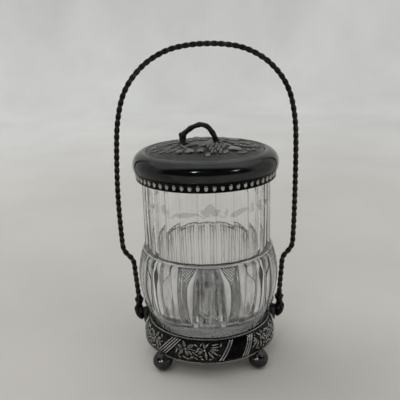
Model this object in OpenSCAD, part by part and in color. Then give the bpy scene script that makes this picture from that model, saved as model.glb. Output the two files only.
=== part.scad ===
// Biscuit jar: a glass jar with a plated lid, standing in a ring frame on ball feet,
// carried by a tall wire bail that swings on two pivots. +Z is up, and the origin is
// on the table under the middle of the jar.

/* [Frame] */
// Widest radius of the base band
band_r = 60.4; // [59.8:0.1:61]
// Height of the band's lower edge above the table
band_low = 15.9; // [15.5:0.1:16.2]
// Height of the band's upper edge
band_top = 34.6; // [34:0.1:35]
// Thickness of the sheet metal
sheet = 1.2; // [1:0.1:1.4]
// Radius of a ball foot
foot_r = 8.7; // [8.2:0.1:9]
// Distance of a ball foot from the centre line
foot_ring = 59.5; // [58.5:0.5:60.5]

/* [Bail] */
// Height of the bail's pivots above the table
pivot_z = 38; // [37.5:0.1:38.5]
// Radius of a pivot pin
pin_r = 1.6; // [1.4:0.1:1.8]
// Gap between a pivot pin and the eye that turns on it
pin_gap = 0.06; // [0.04:0.01:0.08]
// Diameter over the bail's wire
wire_d = 3.8; // [3.4:0.1:4]
// How far the top of the bail leans to the right
bail_lean = 3; // [0:0.5:4]
// Radius of the ball at each lower end of the bail
bail_ball_r = 3.7; // [3.4:0.1:4]

/* [Jar] */
// Outer radius of the jar's neck
neck_r = 56; // [55.5:0.1:56.4]
// Widest radius of the jar's belly
belly_r = 62.4; // [62:0.1:62.8]
// Thickness of the glass in the neck
neck_wall = 3.4; // [3:0.1:3.8]
// Height of the jar's rim above the table
rim_z = 172; // [171.6:0.1:172.1]
// Flat panels round the belly, with a hollow flute between each pair
panels = 8; // [6:1:10]
// Depth of a flute below the widest radius
flute_depth = 1.1; // [0.8:0.1:1.3]

/* [Lid] */
// Widest radius of the lid's rolled border
lid_r = 63.5; // [63.2:0.1:63.8]
// Radius of the lid's crown
crown_r = 51.2; // [50.8:0.1:51.6]
// Height of the middle of the crown above the table
crown_z = 194; // [193.6:0.1:194.2]
// Beads round the lid's skirt
beads = 58; // [50:1:60]
// Radius of a bead
bead_r = 1.5; // [1.2:0.1:1.6]

/* [Hidden] */

$fn = 96;
sliver = 0.01;
rest_gap = 0.35;

// The band is a short barrel: its side is an arc about a ring this far out and this high
band_arc_r = 30;
band_arc_x = band_r - band_arc_r;
band_arc_z = 18;

pan_thickness = 1.4;
pan_top = band_low + 0.1;
top_rim_x = 54.6;
top_rim_z = band_top + 0.6;
top_rim_r = 1.2;
foot_rim_r = 0.9;
foot_rim_x = band_r - 0.7;
foot_rim_z = band_low - 0.5;
foot_z = foot_r - 0.25;

// The ears stand on the band at each side, and the bail's eyes turn outside them
ear_in = 57.2;
ear_out = 61.4;
ear_r = 5.2;
eye_in = ear_out + 0.3;
eye_out = 68.2;
eye_r = 4.8;
pin_in = ear_in + 0.2;
pin_out = 70;
pin_head_r = 3.2;
ball_x = 64.9;
ball_z = 48.3;

// One side of the bail's centre line, from the ball at its foot to the top of its arch
bail_side = [[65.1, 50], [65.7, 60], [66.8, 74], [67.5, 83.5], [69.4, 88.5], [73.8, 93.6], [76.4, 99],
    [77.2, 110], [77.9, 135], [78, 160], [77.3, 190], [75.8, 211], [71.5, 231.5], [64.2, 246.5],
    [52.8, 259.4], [40.4, 267.8], [28, 272.8], [14, 275.3], [0, 276]];
lean_from = 150;
bail_top_z = bail_side[len(bail_side) - 1][1];

// The twig handle's centre line and thickness: x, z and radius
twig = [[-18.6, 192, 3.4], [-18.9, 195.6, 3.1], [-19.2, 199.2, 3.1], [-16.2, 203, 2.4], [-10.8, 207.3, 2.2],
    [-5.5, 208.8, 2.1], [-0.5, 207.5, 2.2], [4.5, 203.4, 2.2], [7.9, 199, 2.3], [9.7, 195.2, 2.5],
    [10.4, 192.2, 2.8]];
twig_feet = [twig[0][0], twig[len(twig) - 1][0]];
stud_r = 1.5;
nut_r = 3.4;
nut_h = 2.6;

// The lid's border is part of a ring's round section, about this radius and height
border_r = 10.9;
border_x = lid_r - border_r;
border_z = 177.3;
border_low = 173.6;
skirt_in = 59;
skirt_out = 60;
skirt_low = 165;
flange_in = 52.5;
flange_low = rim_z + rest_gap + 0.3;

// The crown is a shallow cap of a large sphere that meets the border at its edge
crown_edge_z = 187.4;
crown_rise = crown_z - crown_edge_z;
dome_r = (crown_r * crown_r + crown_rise * crown_rise) / (2 * crown_rise);
dome_z = crown_z - dome_r;

// A smooth curve through a list of points, each a list of numbers
function curve_at(p, i, t) =
    let (a = p[max(i - 1, 0)], b = p[i], c = p[i + 1], d = p[min(i + 2, len(p) - 1)])
    0.5 * (2 * b + (c - a) * t + (2 * a - 5 * b + 4 * c - d) * t * t + (3 * b - a - 3 * c + d) * t * t * t);
function curve(p, steps) = concat(
    [for (i = [0 : len(p) - 2]) for (s = [0 : steps - 1]) curve_at(p, i, s / steps)],
    [p[len(p) - 1]]);

// The bail's whole centre line, with the lean of its upper part
function leaned(x, z) = [x + bail_lean * max(0, z - lean_from) / (bail_top_z - lean_from), z];
bail_line = concat(
    [for (q = bail_side) leaned(-q[0], q[1])],
    [for (i = [len(bail_side) - 2 : -1 : 0]) leaned(bail_side[i][0], bail_side[i][1])]);

// A round bar along a curve in the XZ plane. Each point is x, z and radius
module round_bar(path, sides) {
    count = len(path);
    points = [for (i = [0 : count - 1])
        let (ahead = path[min(i + 1, count - 1)], behind = path[max(i - 1, 0)],
            dx = ahead[0] - behind[0], dz = ahead[1] - behind[1], size = norm([dx, dz]))
        for (k = [0 : sides - 1])
            let (a = 360 * k / sides, across = path[i][2] * cos(a))
            [path[i][0] + across * dz / size, path[i][2] * sin(a), path[i][1] - across * dx / size]];
    walls = [for (i = [0 : count - 2]) for (k = [0 : sides - 1])
        let (n = (k + 1) % sides, low = i * sides, high = low + sides)
        for (half = [0, 1])
            half == 0 ? [low + k, low + n, high + n] : [low + k, high + n, high + k]];
    first_cap = [for (k = [sides - 1 : -1 : 0]) k];
    last_cap = [for (k = [0 : sides - 1]) (count - 1) * sides + k];
    polyhedron(points, concat(walls, [first_cap, last_cap]));
}

// ---- jar ----

module jar_outside() {
    belly_z = 79;
    belly_arc = 92;
    shoulder_x = belly_r - 25.9;
    shoulder_arc = 30.9;
    ledge_z = 47;
    shoulder_z = 101.6;
    ring_r = 57.6;
    ring_h = 1.6;
    neck_low = 105.4;
    // foot of the jar, below the panels
    rotate_extrude() {
        polygon([[0, pan_top + rest_gap], [47.5, pan_top + rest_gap], [49.6, 18], [50.8, 22], [52, 30],
            [52.8, 36], [54, 41.5], [55.6, ledge_z], [0, ledge_z]]);
        // belly, which a smaller arc rounds in at its shoulder
        intersection() {
            translate([belly_r - belly_arc, belly_z])
                circle(r = belly_arc, $fn = 360);
            union() {
                translate([shoulder_x, belly_z])
                    circle(r = shoulder_arc, $fn = 180);
                translate([0, ledge_z])
                    square([belly_r + 1, belly_z - ledge_z]);
            }
            translate([0, ledge_z])
                square([belly_r + 1, shoulder_z - ledge_z]);
        }
        // ring where the belly meets the neck
        translate([0, shoulder_z])
            square([ring_r, ring_h]);
        polygon([[0, shoulder_z + ring_h], [ring_r, shoulder_z + ring_h], [neck_r, neck_low], [0, neck_low]]);
        // neck and rim
        translate([0, neck_low])
            square([neck_r, rim_z - 1.6 - neck_low]);
        translate([0, rim_z - 5])
            square([neck_r + 1.2, 3.4]);
        translate([neck_r - 0.4, rim_z - 1.6])
            circle(r = 1.6);
        translate([0, rim_z - 1.6])
            square([neck_r - 0.4, 1.6]);
    }
}

// The inside tapers without an undercut, so the belly's wall is thick
module jar_inside() {
    mouth_r = neck_r - neck_wall;
    rotate_extrude() {
        polygon([[0, 23.5], [38, 24], [43.5, 26.5], [46.8, 32], [48.2, 40], [49.2, 50], [50.6, 75],
            [mouth_r - 0.8, 101], [mouth_r, 125], [mouth_r, rim_z + 1], [0, rim_z + 1]]);
    }
}

// A long flat across the belly that follows its height in a slow arc
module belly_flat() {
    flat_x = belly_r - 1.15;
    arc_r = 104;
    difference() {
        translate([flat_x - 8, -20, 47.4])
            cube([20, 40, 54.2]);
        translate([flat_x - arc_r, 0, 76])
            rotate([90, 0, 0])
                cylinder(r = arc_r, h = 60, center = true, $fn = 360);
    }
}

module belly_flute() {
    flute_r = 9;
    arc_r = 105;
    half_turn = 22;
    intersection() {
        translate([belly_r - flute_depth - arc_r, 0, 76])
            rotate([90, 0, 0])
                rotate([0, 0, -half_turn])
                    rotate_extrude(angle = 2 * half_turn, $fn = 360)
                        translate([arc_r + flute_r, 0])
                            circle(r = flute_r);
        translate([40, -20, 47.4])
            cube([40, 40, 54.2]);
    }
}

module glass_jar() {
    color([0.86, 0.88, 0.87, 0.4])
        difference() {
            jar_outside();
            jar_inside();
            for (i = [0 : panels - 1]) {
                rotate([0, 0, -90 + 360 * i / panels])
                    belly_flat();
                rotate([0, 0, -90 + 360 * (i + 0.5) / panels])
                    belly_flute();
            }
        }
}

// ---- frame ----

module band_section(inset) {
    intersection() {
        union() {
            translate([band_arc_x, band_arc_z])
                circle(r = band_arc_r - inset, $fn = 180);
            translate([0, band_low])
                square([band_arc_x, band_top - band_low]);
        }
        translate([0, band_low])
            square([band_r + 1, band_top - band_low]);
    }
}

module band_envelope() {
    rotate_extrude()
        band_section(0);
}

module base_band() {
    color([0.2, 0.2, 0.2])
        rotate_extrude()
            difference() {
                band_section(0);
                band_section(sheet);
                square([band_arc_x, band_top + 1]);
            }
}

module foot_rim_section() {
    intersection() {
        translate([foot_rim_x, foot_rim_z])
            circle(r = foot_rim_r, $fn = 48);
        translate([0, band_low - 3])
            square([band_r + 2, 3]);
    }
}

// The pan's edge sits inside the foot rim and under the band
module base_pan() {
    color([0.36, 0.36, 0.35])
        rotate_extrude()
            difference() {
                translate([0, pan_top - pan_thickness])
                    square([band_r - sheet - 0.1, pan_thickness]);
                foot_rim_section();
            }
}

module base_top_rim() {
    color([0.3, 0.3, 0.29])
        difference() {
            rotate_extrude() {
                translate([top_rim_x, top_rim_z])
                    circle(r = top_rim_r);
                translate([top_rim_x, band_top - 2])
                    square([2.4, 2.3]);
            }
            band_envelope();
        }
}

module base_foot_rim() {
    color([0.45, 0.45, 0.44])
        rotate_extrude()
            foot_rim_section();
}

module ball_foot(turn) {
    rotate([0, 0, turn])
        color([0.3, 0.3, 0.3])
            difference() {
                translate([foot_ring, 0, foot_z])
                    sphere(r = foot_r);
                translate([0, 0, -foot_r])
                    cylinder(r = 2 * foot_ring, h = foot_r);
                rotate([0, 0, -turn]) {
                    band_envelope();
                    rotate_extrude()
                        hull() {
                            foot_rim_section();
                            translate([0, foot_rim_z - foot_rim_r])
                                square([foot_rim_x - 1, foot_rim_r + band_low - foot_rim_z]);
                        }
                }
            }
}

module foot_front_left() ball_foot(-135);
module foot_front_right() ball_foot(-45);
module foot_back_left() ball_foot(135);
module foot_back_right() ball_foot(45);

module ear() {
    ear_foot = 24;
    difference() {
        union() {
            translate([ear_in, 0, pivot_z])
                rotate([0, 90, 0])
                    cylinder(r = ear_r, h = ear_out - ear_in);
            translate([ear_in, 0, 0])
                rotate([90, 0, 90])
                    linear_extrude(ear_out - ear_in)
                        polygon([[-6.5, ear_foot], [6.5, ear_foot], [ear_r, pivot_z], [-ear_r, pivot_z]]);
        }
        band_envelope();
        translate([ear_in - 1, 0, pivot_z])
            rotate([0, 90, 0])
                cylinder(r = pin_r, h = ear_out);
    }
}

module ear_right() color([0.17, 0.17, 0.17]) ear();
module ear_left() color([0.17, 0.17, 0.17]) rotate([0, 0, 180]) ear();

module pivot_pin() {
    head_ball = 4.4;
    translate([0, 0, pivot_z])
        rotate([0, 90, 0]) {
            translate([0, 0, pin_in])
                cylinder(r = pin_r, h = eye_out + 0.3 - pin_in + sliver);
            intersection() {
                translate([0, 0, eye_out + 0.3])
                    cylinder(r = pin_head_r, h = pin_out - eye_out);
                translate([0, 0, pin_out - head_ball])
                    sphere(r = head_ball);
            }
        }
}

module pivot_pin_right() color([0.3, 0.3, 0.29]) pivot_pin();
module pivot_pin_left() color([0.3, 0.3, 0.29]) rotate([0, 0, 180]) pivot_pin();

// ---- bail ----

module bail_end() {
    difference() {
        union() {
            // ball with a collar round it, and the socket that the wire stands in
            translate([ball_x, 0, ball_z]) {
                sphere(r = bail_ball_r);
                translate([0, 0, -0.5])
                    cylinder(r = bail_ball_r + 0.35, h = 1);
                translate([0, 0, bail_ball_r - 1])
                    cylinder(r = 2.7, h = 2);
            }
            // curled shoulder, eye and drooping tail
            hull() {
                translate([65.1, 0, 44.6])
                    sphere(r = 2.5, $fn = 24);
                translate([65.2, 0, 41])
                    sphere(r = 3, $fn = 24);
            }
            translate([eye_in, 0, pivot_z])
                rotate([0, 90, 0])
                    cylinder(r = eye_r, h = eye_out - eye_in);
            hull() {
                translate([65, 0, 35.6])
                    sphere(r = 3, $fn = 24);
                translate([63.7, 0, 31.2])
                    sphere(r = 1.7, $fn = 24);
            }
        }
        translate([ear_out - 1, 0, pivot_z])
            rotate([0, 90, 0])
                cylinder(r = pin_r + pin_gap, h = pin_out);
    }
}

module bail_end_right() color([0.14, 0.14, 0.13]) bail_end();
module bail_end_left() color([0.14, 0.14, 0.13]) rotate([0, 0, 180]) bail_end();

module bail_wire() {
    bar = [for (q = curve(bail_line, 3)) [q[0], q[1], wire_d / 2]];
    color([0.12, 0.11, 0.1])
        round_bar(bar, 8);
}

// ---- lid ----

module lid_border() {
    color([0.3, 0.31, 0.32])
        rotate_extrude()
            intersection() {
                translate([border_x, border_z])
                    difference() {
                        circle(r = border_r, $fn = 120);
                        circle(r = border_r - sheet, $fn = 120);
                    }
                translate([crown_r, border_low])
                    square([lid_r, border_r * 2]);
            }
}

module crown_cap() {
    rotate_extrude() {
        intersection() {
            translate([0, dome_z])
                difference() {
                    circle(r = dome_r, $fn = 720);
                    circle(r = dome_r - sheet, $fn = 720);
                }
            translate([0, crown_edge_z - 2 * sheet])
                square([crown_r, crown_rise + 3 * sheet]);
        }
        translate([crown_r - 1.6, crown_edge_z - sheet])
            square([1.6, sheet + 0.3]);
    }
}

// Sets its children on the crown at x, y, turned about the crown's own upright there
module on_crown(x, y, turn) {
    reach = norm([x, y]);
    translate([0, 0, dome_z])
        rotate([0, asin(reach / dome_r), atan2(y, x)])
            translate([0, 0, dome_r])
                rotate([0, 0, turn - atan2(y, x)])
                    children();
}

module plum(length, radius) {
    rotate([0, 90, 0]) {
        cylinder(r = radius, h = length, center = true, $fn = 32);
        for (s = [-1, 1])
            translate([0, 0, s * length / 2])
                sphere(r = radius, $fn = 32);
    }
}

// A pointed oval, from two round edges that cross
module leaf(length, width, height) {
    round_r = (length * length + width * width) / (4 * width);
    translate([0, 0, -0.6])
        linear_extrude(height + 0.6)
            intersection_for (s = [-1, 1])
                translate([0, s * (round_r - width / 2)])
                    circle(r = round_r, $fn = 120);
}

module crown_relief() {
    // row of small fruit in front
    for (q = [[-20.9, -26.8, 12], [-13, -28.4, -8], [-4.9, -31.5, 10]])
        on_crown(q[0], q[1], q[2])
            plum(3.6, 2.3);
    // cluster of berries, in rows that close to a point
    for (row = [0 : 4])
        for (i = [0 : 4 - row])
            on_crown(10 + (i - (4 - row) / 2) * 3.3, -21 - row * 3.6, 0)
                sphere(r = 1.9, $fn = 32);
    // leaves
    for (q = [[-10, -17.5, 20, 13, 6], [0.5, -15, -5, 13, 7], [26, -21.5, 15, 15, 8], [33, -7, 35, 20, 5],
            [39, -16, 60, 10, 5], [-30, -10, 30, 18, 6], [-38, -6, -20, 16, 6], [-45, 2, 70, 10, 5],
            [-33, 12, -40, 16, 6], [-20, 22, 10, 18, 7], [-4, 27, -15, 16, 7], [13, 26, 20, 18, 7],
            [28, 14, -30, 16, 6], [40, 4, 80, 12, 5], [-16, 36, 15, 14, 6], [8, 38, -10, 14, 6],
            [29, 30, -40, 14, 6], [-32, 28, 50, 12, 5]])
        on_crown(q[0], q[1], q[2])
            leaf(q[3], q[4], 1.1);
}

module lid_crown() {
    color([0.32, 0.32, 0.31])
        difference() {
            union() {
                crown_cap();
                intersection() {
                    crown_relief();
                    translate([0, 0, dome_z])
                        sphere(r = dome_r + 5, $fn = 720);
                    // nothing hangs through the sheet
                    difference() {
                        translate([0, 0, crown_edge_z - 4])
                            cylinder(r = crown_r - 1, h = 20);
                        translate([0, 0, dome_z])
                            sphere(r = dome_r - sheet / 2, $fn = 720);
                    }
                }
            }
            for (x = twig_feet)
                translate([x, 0, crown_edge_z - 4])
                    cylinder(r = stud_r, h = 20);
        }
}

module lid_skirt() {
    color([0.1, 0.1, 0.1])
        rotate_extrude() {
            translate([skirt_in, skirt_low])
                square([skirt_out - skirt_in, border_low - skirt_low]);
            translate([flange_in, flange_low])
                square([62.6 - flange_in, border_low - flange_low]);
        }
}

module bead_wire() {
    bead_ring = 59.9;
    bead_mid = 168.7;
    bead_half = 1.7;
    color([0.4, 0.4, 0.4])
        difference() {
            union() {
                translate([0, 0, skirt_low])
                    cylinder(r = skirt_out + 0.5, h = flange_low - skirt_low);
                for (i = [0 : beads - 1])
                    rotate([0, 0, 360 * i / beads])
                        translate([bead_ring, 0, bead_mid]) {
                            cylinder(r = bead_r, h = 2 * bead_half, center = true, $fn = 24);
                            for (s = [-1, 1])
                                translate([0, 0, s * bead_half])
                                    sphere(r = bead_r, $fn = 24);
                        }
            }
            translate([0, 0, skirt_low - 1])
                cylinder(r = skirt_out, h = 20);
        }
}

module twig_handle() {
    color([0.2, 0.2, 0.19])
        round_bar(curve(twig, 3), 12);
}

// Studs cast into the handle's feet, which go down through the crown
module handle_studs() {
    stud_low = crown_edge_z + 1;
    color([0.45, 0.44, 0.4])
        for (x = twig_feet)
            translate([x, 0, stud_low])
                cylinder(r = stud_r, h = twig[0][1] + 2 - stud_low);
}

module handle_nuts() {
    color([0.5, 0.48, 0.42])
        for (x = twig_feet)
            difference() {
                translate([x, 0, crown_edge_z + 1.8])
                    cylinder(r = nut_r, h = nut_h, $fn = 6);
                translate([x, 0, crown_edge_z])
                    cylinder(r = stud_r, h = 10);
                crown_cap();
                translate([0, 0, crown_edge_z + crown_rise])
                    cylinder(r = crown_r, h = 4);
            }
}

glass_jar();
base_band();
base_pan();
base_top_rim();
base_foot_rim();
foot_front_left();
foot_front_right();
foot_back_left();
foot_back_right();
ear_left();
ear_right();
pivot_pin_left();
pivot_pin_right();
bail_end_left();
bail_end_right();
bail_wire();
lid_border();
lid_crown();
lid_skirt();
bead_wire();
twig_handle();
handle_studs();
handle_nuts();
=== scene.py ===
import math

import bpy
import numpy as np
from mathutils import Matrix, Vector


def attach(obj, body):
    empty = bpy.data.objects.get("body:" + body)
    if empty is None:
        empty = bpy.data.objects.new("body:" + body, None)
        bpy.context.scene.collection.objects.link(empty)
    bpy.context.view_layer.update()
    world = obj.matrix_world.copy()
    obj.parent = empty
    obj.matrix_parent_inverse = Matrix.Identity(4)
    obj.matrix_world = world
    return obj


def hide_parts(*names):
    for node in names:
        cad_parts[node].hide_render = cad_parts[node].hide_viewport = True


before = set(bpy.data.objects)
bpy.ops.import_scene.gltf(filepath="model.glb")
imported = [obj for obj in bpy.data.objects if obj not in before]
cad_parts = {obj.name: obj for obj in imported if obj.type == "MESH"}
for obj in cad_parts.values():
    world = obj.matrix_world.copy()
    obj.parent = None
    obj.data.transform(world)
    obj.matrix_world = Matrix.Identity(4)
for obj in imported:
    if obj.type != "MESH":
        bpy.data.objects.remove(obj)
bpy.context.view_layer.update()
print("frame loaded:", len(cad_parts), "nodes")

mm = 0.001


def unit(value):
    return np.clip(value, 0, 1)


# 1 at no distance, fading to nothing beyond twice the width
def peak(distance, width):
    return np.exp(-(distance / width) ** 2)


# distance to the nearest multiple of a period
def offBeat(angle, period):
    return np.abs((angle + period / 2) % period - period / 2)


def wholeTurn(steps):
    return np.linspace(0, 2 * np.pi, steps, endpoint=False)[:, None]


# points from a radius, an angle round the upright axis and a height
def spun(radius, angle, height):
    return np.stack(np.broadcast_arrays(radius * np.cos(angle), radius * np.sin(angle), height), -1)


# points are in millimetres, tones are one number for each point
def makeObject(name, points, faces, material, tones=None):
    mesh = bpy.data.meshes.new(name)
    mesh.from_pydata((np.asarray(points, float).reshape(-1, 3) * mm).tolist(), [], faces)
    for label, values in (tones or {}).items():
        layer = mesh.attributes.new(label, "FLOAT", "POINT")
        layer.data.foreach_set("value", np.asarray(values, np.float32).ravel())
    mesh.materials.append(material)
    mesh.shade_smooth()
    made = bpy.data.objects.new(name, mesh)
    bpy.context.scene.collection.objects.link(made)
    return made


def gridFaces(rows, cols, wrapRows=False, wrapCols=False, flip=False):
    i, j = np.meshgrid(np.arange(rows if wrapRows else rows - 1),
                       np.arange(cols if wrapCols else cols - 1), indexing="ij")
    nextI, nextJ = (i + 1) % rows, (j + 1) % cols
    quads = np.stack([i * cols + j, nextI * cols + j, nextI * cols + nextJ, i * cols + nextJ], -1)
    quads = quads.reshape(-1, 4)
    return (quads[:, ::-1] if flip else quads).tolist()


# a profile of radius and height, turned round the upright axis
def turned(name, profile, material, bodyName=None, steps=240, closed=True):
    profile = np.array(profile, float)
    points = spun(profile[:, 0], wholeTurn(steps), profile[:, 1])
    made = makeObject(name, points, gridFaces(steps, len(profile), True, closed), material)
    if bodyName:
        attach(made, bodyName)
    return made


def arc(centre, radius, fromDeg, toDeg, count):
    angles = np.radians(np.linspace(fromDeg, toDeg, count))
    return [(centre[0] + radius * math.cos(a), centre[1] + radius * math.sin(a)) for a in angles]


# smooth curve through a list of points, each a tuple of numbers
def smoothPath(points, steps):
    p = np.array(points, float)
    p = np.vstack([p[:1], p, p[-1:]])
    t = np.arange(steps)[:, None] / steps
    runs = [0.5 * (2 * b + (c - a) * t + (2 * a - 5 * b + 4 * c - d) * t * t
                   + (3 * b - a - 3 * c + d) * t ** 3) for a, b, c, d in zip(p, p[1:], p[2:], p[3:])]
    return np.vstack(runs + [p[-1:]])


def evenly(path, gap):
    lengths = np.concatenate([[0], np.cumsum(np.linalg.norm(np.diff(path[:, :3], axis=0), axis=1))])
    count = max(2, int(lengths[-1] / gap))
    at = np.linspace(0, lengths[-1], count)
    return np.stack([np.interp(at, lengths, path[:, k]) for k in range(path.shape[1])], 1), at


# rings of points round a path, with a radius at each point
def tubeRings(path, radii, sides, side=(0, 1, 0)):
    path = np.asarray(path, float)
    along = np.gradient(path, axis=0)
    along /= np.linalg.norm(along, axis=1)[:, None]
    across = np.cross(along, np.array(side, float))
    across /= np.linalg.norm(across, axis=1)[:, None]
    other = np.cross(along, across)
    turn = wholeTurn(sides)
    ring = across[:, None, :] * np.cos(turn) + other[:, None, :] * np.sin(turn)
    sizes = np.broadcast_to(np.asarray(radii, float), (sides, len(path))).T
    return path[:, None, :] + ring * sizes[:, :, None]


# a part is a list of points and a list of faces; this one is a tube with both ends closed
def tubePart(rings):
    count, sides = rings.shape[:2]
    faces = gridFaces(count, sides, False, True)
    faces.append(list(range(sides)))
    faces.append(list(range(count * sides - 1, (count - 1) * sides - 1, -1)))
    return rings.reshape(-1, 3).tolist(), faces


# one list of points and one of faces from several parts
def joined(parts):
    points, faces = [], []
    for partPoints, partFaces in parts:
        faces += [[len(points) + k for k in face] for face in partFaces]
        points += partPoints
    return points, faces


casting = {"voxel": 0.35, "smoothing": 2, "soften": 0.5}


# joins rough solids into one cast-looking skin: remeshed, then smoothed
def cast(name, parts, material, voxel=casting["voxel"]):
    made = makeObject(name, *joined(parts), material)
    remesh = made.modifiers.new("skin", "REMESH")
    remesh.mode = "VOXEL"
    remesh.voxel_size = voxel * mm
    soften = made.modifiers.new("soften", "SMOOTH")
    soften.iterations = casting["smoothing"]
    soften.factor = casting["soften"]
    bpy.context.view_layer.objects.active = made
    for modifier in ("skin", "soften"):
        bpy.ops.object.modifier_apply(modifier=modifier)
    made.data.shade_smooth()
    return made


def ballPart(centre, radii, turn=None, rows=12, cols=16):
    lat = np.linspace(0, np.pi, rows + 1)[:, None]
    points = spun(np.sin(lat), wholeTurn(cols).T, np.cos(lat)).reshape(-1, 3) * np.array(radii, float)
    if turn is not None:
        points = points @ np.array(turn).T
    return (points + np.array(centre, float)).tolist(), gridFaces(rows + 1, cols, False, True)


def rodPart(path, radii, sides=14, side=(0, 1, 0)):
    return tubePart(tubeRings(path, radii, sides, side))


# a material or world whose nodes are added one after another
class Paint:
    def __init__(self, holder, shader="Principled BSDF"):
        holder.use_nodes = True
        self.tree = holder.node_tree
        self.shader = self.tree.nodes[shader]

    def node(self, kind, settings=None, **inputs):
        made = self.tree.nodes.new("ShaderNode" + kind)
        for key, value in (settings or {}).items():
            setattr(made, key, value)
        self.fill(made, **inputs)
        return made

    def fill(self, node, **inputs):
        for key, value in inputs.items():
            self.put(node.inputs[key.replace("_", " ")], value)

    def put(self, socket, value):
        if isinstance(value, bpy.types.NodeSocket):
            self.tree.links.new(value, socket)
        elif isinstance(value, tuple) and len(value) == 3 and socket.type == "RGBA":
            socket.default_value = (*value, 1)
        else:
            socket.default_value = value

    def set(self, **inputs):
        self.fill(self.shader, **inputs)

    def place(self, stretch=(1, 1, 1)):
        coords = self.node("TexCoord").outputs["Object"]
        return self.node("Mapping", Vector=coords, Scale=stretch).outputs["Vector"]

    def noise(self, scale, detail=3.0, rough=0.5, stretch=(1, 1, 1)):
        return self.node("TexNoise", Vector=self.place(stretch), Scale=scale, Detail=detail,
                         Roughness=rough).outputs["Fac"]

    def remap(self, value, low, high, toLow=0.0, toHigh=1.0):
        return self.node("MapRange", Value=value, From_Min=low, From_Max=high,
                         To_Min=toLow, To_Max=toHigh).outputs["Result"]

    def mix(self, factor, first, second):
        made = self.node("Mix", {"data_type": "RGBA"})
        for place, value in ((0, factor), (6, first), (7, second)):   # 6 and 7 are the colours
            self.put(made.inputs[place], value)
        return made.outputs[2]

    def tone(self, label):
        return self.node("Attribute", {"attribute_name": label}).outputs["Fac"]

    def combine(self, operation, first, second):
        made = self.node("Math", {"operation": operation})
        self.put(made.inputs[0], first)
        self.put(made.inputs[1], second)
        return made.outputs[0]

    def glossyOnly(self, value):
        return self.combine("MULTIPLY", value, self.node("LightPath").outputs["Is Glossy Ray"])

    def bump(self, height, distance, strength=1.0):
        made = self.node("Bump", Height=height, Distance=distance, Strength=strength)
        self.set(Normal=made.outputs["Normal"])


# tarnished silver plate: cloudy dark grey, near black in the recesses and paler on raised parts, as tarnish
# and rubbed wear together with painted shade in the hollows and painted highlights on the tops; raised says
# over what range of the piece's relief it comes out of the dark
def platedMetal(name, dark, light, rough=(0.28, 0.5), cloud=45, specks=0.45, raised=None,
                deep=(0.008, 0.0075, 0.007), tarnish=0.0):
    material = bpy.data.materials.new(name)
    paint = Paint(material)
    colour = paint.mix(paint.remap(paint.noise(cloud, 5, 0.6), 0.3, 0.72), dark, light)
    if tarnish:   # faint straw and blue patches
        straw = paint.remap(paint.noise(23, 2, 0.5, (1, 1, 1.6)), 0.6, 0.75, 0, tarnish)
        colour = paint.mix(straw, colour, (0.15, 0.115, 0.045))
        blue = paint.remap(paint.noise(31, 2, 0.5, (1.3, 1, 1)), 0.62, 0.78, 0, tarnish)
        colour = paint.mix(blue, colour, (0.03, 0.055, 0.12))
    spots = paint.remap(paint.noise(900, 2, 0.7), 0.55, 0.75, 0, specks)
    colour = paint.mix(spots, colour, deep)
    # the relief tone darkens hollows as tarnish and painted shade, and lightens tops as wear and painted
    # highlight
    if raised:
        colour = paint.mix(paint.remap(paint.tone("relief"), *raised), deep, colour)
    paint.set(Base_Color=colour, Metallic=1.0)
    paint.set(Roughness=paint.remap(paint.noise(cloud * 3, 4, 0.6), 0.3, 0.7, *rough))
    paint.bump(paint.noise(1400, 3, 0.6), 0.00002)
    return material


metals = {
    "border": platedMetal("agedBorderPlate", (0.027, 0.028, 0.028), (0.07, 0.072, 0.071), (0.07, 0.2), 24,
                          0.25, tarnish=0.75),
    "crown": platedMetal("agedCrownPlate", (0.13, 0.13, 0.125), (0.3, 0.3, 0.29), (0.24, 0.4), 60,
                         raised=(0.1, 0.8), deep=(0.012, 0.012, 0.0115)),
    "band": platedMetal("agedBandPlate", (0.5, 0.5, 0.48), (0.8, 0.8, 0.77), (0.2, 0.36), 60,
                        raised=(0.1, 0.8), deep=(0.008, 0.008, 0.009)),
    "lining": platedMetal("ringLiningPlate", (0.6, 0.6, 0.58), (0.9, 0.9, 0.88), (0.5, 0.7), 70, 0.2),
    # paler plate for the rims: rubbed wear together with a painted highlight line
    "rim": platedMetal("rubbedRimPlatePaintedHighlight", (0.2, 0.2, 0.19), (0.42, 0.42, 0.4), (0.2, 0.35), 90),
    "pan": platedMetal("panPlate", (0.6, 0.6, 0.58), (0.85, 0.85, 0.83), (0.45, 0.65), 40, 0.2),
    "ball": platedMetal("agedBallPlate", (0.035, 0.035, 0.035), (0.075, 0.075, 0.073), (0.08, 0.16), 90),
    "casting": platedMetal("agedCasting", (0.01, 0.01, 0.0095), (0.04, 0.04, 0.038), (0.14, 0.3), 150),
    "ear": platedMetal("agedEarCasting", (0.03, 0.03, 0.029), (0.1, 0.1, 0.096), (0.25, 0.42), 150),
    "wire": platedMetal("agedWire", (0.02, 0.018, 0.015), (0.08, 0.07, 0.057), (0.2, 0.36), 120,
                        raised=(0, 1), deep=(0.004, 0.004, 0.004)),
    "twig": platedMetal("agedTwig", (0.022, 0.022, 0.021), (0.065, 0.065, 0.062), (0.22, 0.42), 150),
    "bead": platedMetal("rubbedBeads", (0.3, 0.3, 0.29), (0.6, 0.6, 0.58), (0.1, 0.2), 200, 0.2),
    "black": platedMetal("blackenedPlate", (0.006, 0.006, 0.006), (0.018, 0.018, 0.018), (0.25, 0.45)),
    "brass": platedMetal("oldBrass", (0.3, 0.22, 0.1), (0.5, 0.4, 0.22), (0.3, 0.5), 200),
}
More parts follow.
